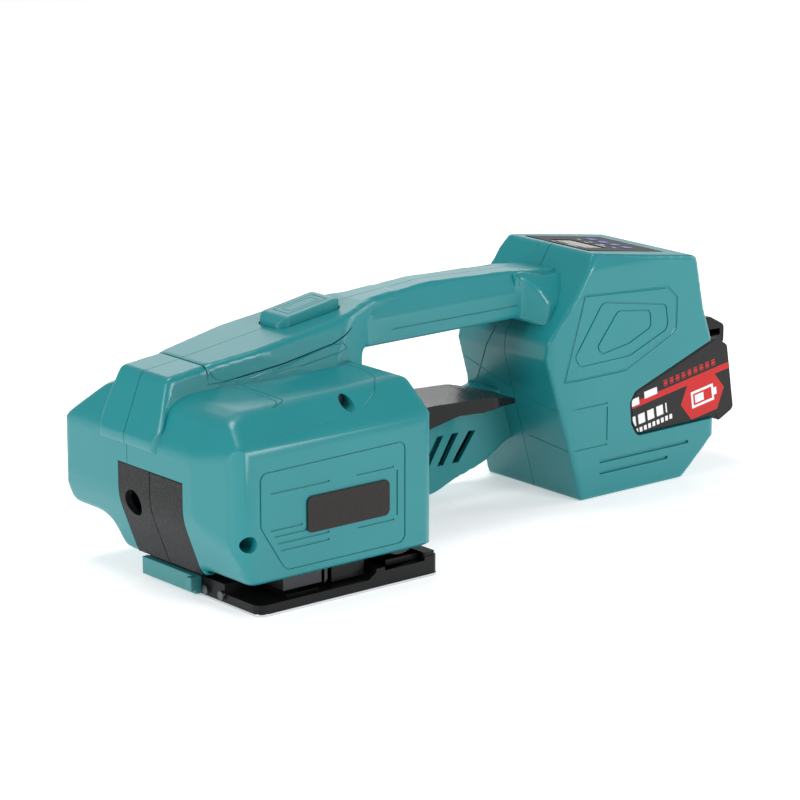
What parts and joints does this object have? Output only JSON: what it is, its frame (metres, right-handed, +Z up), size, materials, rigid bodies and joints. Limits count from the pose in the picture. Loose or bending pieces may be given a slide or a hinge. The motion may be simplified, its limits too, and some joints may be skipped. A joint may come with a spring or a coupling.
{
  "type": "battery strapping tool",
  "caption": "Hand-held battery strapping tool: asymmetric housing with strap slot and wear plate, squeeze lever under a closed handle, display and slide-in battery.",
  "frame": {"origin": "on the underside of the wear plate, in the parting plane of the housing, midway along the base plate", "axes": "+X from the nose to the battery, -Y the strap side, +Z up"},
  "size_m": [0.3804, 0.141, 0.1293],
  "materials": {
    "housing_teal": "satin moulded ABS, teal",
    "guard_black": "fine-textured black nylon",
    "lever_black": "satin black glass-filled nylon",
    "badge_black": "dark anodised plate",
    "base_black": "black oxide and paint on cast steel",
    "wear_steel": "ground and polished",
    "bracket_teal": "teal powder coat",
    "tool_steel": "hardened, ground and black oxide",
    "screw_steel": "zinc plated",
    "frame_alu": "die cast",
    "motor_steel": "rolled can",
    "belt_rubber": "toothed neoprene",
    "brass_gear": "machined",
    "spring_steel": "drawn wire",
    "switch_black": "moulded",
    "carrier_grey": "moulded",
    "wire_sleeve": "PVC insulated copper",
    "panel_black": "gloss printed overlay",
    "lcd_glass": "liquid crystal display",
    "board_green": "soldered circuit board",
    "key_blue": "domed key caps",
    "heatsink_alu": "extruded",
    "pack_black": "moulded ABS, fine texture",
    "cell_wrap": "shrink-wrapped cells",
    "contact_brass": "plated spring contacts",
    "label_print": "printed film label"
  },
  "bodies": {
    "tool": {"right_housing": "housing_teal", "left_housing": "housing_teal", "housing_screws": "screw_steel", "right_nose_guard": "guard_black", "left_nose_guard": "guard_black", "badge_plate": "badge_black", "wear_plate": "wear_steel", "base_plate": "base_black", "wear_plate_screws": "screw_steel", "base_front_screws": "screw_steel", "strap_guide_bracket": "bracket_teal", "gripper_plate": "base_black", "weld_anvil": "base_black", "main_frame": "frame_alu", "weld_bearing_block": "frame_alu", "weld_block_posts": "tool_steel", "strap_press_block": "base_black", "rocker_pivot_shaft": "tool_steel", "eccentric_bearings": "tool_steel", "weld_drive_belt": "belt_rubber", "weld_motor": "motor_steel", "rocker_return_spring": "spring_steel", "thumb_button_spring": "spring_steel", "trigger_switch": "switch_black", "switch_carrier": "carrier_grey", "handle_wires": "wire_sleeve", "display_panel": "panel_black", "lcd_screen": "lcd_glass", "display_board": "board_green", "control_board": "board_green", "driver_board": "board_green", "driver_heatsink": "heatsink_alu", "terminal_block": "switch_black"},
    "rocker": {"rocker_arm": "frame_alu", "squeeze_lever": "lever_black", "tension_motor": "motor_steel", "wheel_bearings": "tool_steel"},
    "tension_roller": {"tension_shaft": "tool_steel", "tension_wheel": "tool_steel", "tension_shaft_gear": "tool_steel"},
    "idler": {"idler_gear": "tool_steel"},
    "tension_rotor": {"tension_motor_pinion": "brass_gear"},
    "weld_rotor": {"weld_motor_pulley": "heatsink_alu"},
    "eccentric": {"eccentric_shaft": "tool_steel", "eccentric_pulley": "heatsink_alu"},
    "weld_head": {"weld_shoe": "tool_steel"},
    "cutter": {"cutter_blade": "tool_steel"},
    "button": {"thumb_button": "housing_teal"},
    "key_1": {"display_key_1": "key_blue"},
    "key_2": {"display_key_2": "key_blue"},
    "key_3": {"display_key_3": "key_blue"},
    "key_4": {"display_key_4": "key_blue"},
    "battery": {"battery_lower_case": "pack_black", "battery_upper_case": "pack_black", "battery_cells": "cell_wrap", "battery_board": "board_green", "battery_contacts": "contact_brass", "battery_label": "label_print", "latch_springs": "spring_steel"},
    "latch": {"battery_latch": "lever_black"}
  },
  "joints": [
    {"name": "lever_hinge", "type": "hinge", "parent": "tool", "child": "rocker", "pos_m": [-0.005, 0, 0.042], "axis": [0, -1, 0], "range_deg": [0, 6], "stiffness_Nm_per_rad": 3, "springref_deg": -11.46, "deforming": ["rocker_return_spring"]},
    {"name": "tension_wheel_spin", "type": "hinge", "parent": "rocker", "child": "tension_roller", "pos_m": [0.0345, -0.07, 0.0268], "axis": [0, -1, 0], "continuous": true},
    {"name": "idler_spin", "type": "hinge", "parent": "rocker", "child": "idler", "pos_m": [0.02252, -0.0125, 0.04404], "axis": [0, -1, 0], "continuous": true},
    {"name": "tension_motor_spin", "type": "hinge", "parent": "rocker", "child": "tension_rotor", "pos_m": [0.01551, -0.015, 0.06384], "axis": [0, -1, 0], "continuous": true},
    {"name": "eccentric_spin", "type": "hinge", "parent": "tool", "child": "eccentric", "pos_m": [-0.028, -0.07, 0.029], "axis": [0, -1, 0], "continuous": true},
    {"name": "weld_motor_spin", "type": "hinge", "parent": "tool", "child": "weld_rotor", "pos_m": [-0.036, -0.0085, 0.062], "axis": [0, -1, 0], "continuous": true},
    {"name": "weld_shoe_slide", "type": "slide", "parent": "tool", "child": "weld_head", "axis": [1, 0, 0], "range_m": [-0.0008, 0.0008]},
    {"name": "cutter_slide", "type": "slide", "parent": "tool", "child": "cutter", "axis": [0, 0, -1], "range_m": [0, 0.0018], "stiffness_N_per_m": 200, "springref_m": -0.001},
    {"name": "thumb_button_slide", "type": "slide", "parent": "tool", "child": "button", "axis": [0, 0, -1], "range_m": [0, 0.0025], "stiffness_N_per_m": 400, "springref_m": -0.0012, "deforming": ["thumb_button_spring"]},
    {"name": "display_key_1_slide", "type": "slide", "parent": "tool", "child": "key_1", "axis": [-0.1435, 0, -0.9897], "range_m": [0, 0.0006], "stiffness_N_per_m": 300, "springref_m": -0.0004},
    {"name": "display_key_2_slide", "type": "slide", "parent": "tool", "child": "key_2", "axis": [-0.1435, 0, -0.9897], "range_m": [0, 0.0006], "stiffness_N_per_m": 300, "springref_m": -0.0004},
    {"name": "display_key_3_slide", "type": "slide", "parent": "tool", "child": "key_3", "axis": [-0.1435, 0, -0.9897], "range_m": [0, 0.0006], "stiffness_N_per_m": 300, "springref_m": -0.0004},
    {"name": "display_key_4_slide", "type": "slide", "parent": "tool", "child": "key_4", "axis": [-0.1435, 0, -0.9897], "range_m": [0, 0.0006], "stiffness_N_per_m": 300, "springref_m": -0.0004},
    {"name": "battery_slide", "type": "slide", "parent": "tool", "child": "battery", "axis": [1, 0, 0], "range_m": [0, 0.09]},
    {"name": "latch_slide", "type": "slide", "parent": "battery", "child": "latch", "axis": [0, 0, -1], "range_m": [0, 0.0024], "stiffness_N_per_m": 500, "springref_m": -0.0012, "deforming": ["latch_springs"]}
  ],
  "couplings": [
    {"joint": "idler_spin", "follows": "tension_wheel_spin", "ratio": -2},
    {"joint": "tension_motor_spin", "follows": "tension_wheel_spin", "ratio": 5},
    {"joint": "weld_motor_spin", "follows": "eccentric_spin", "ratio": 0.6}
  ]
}
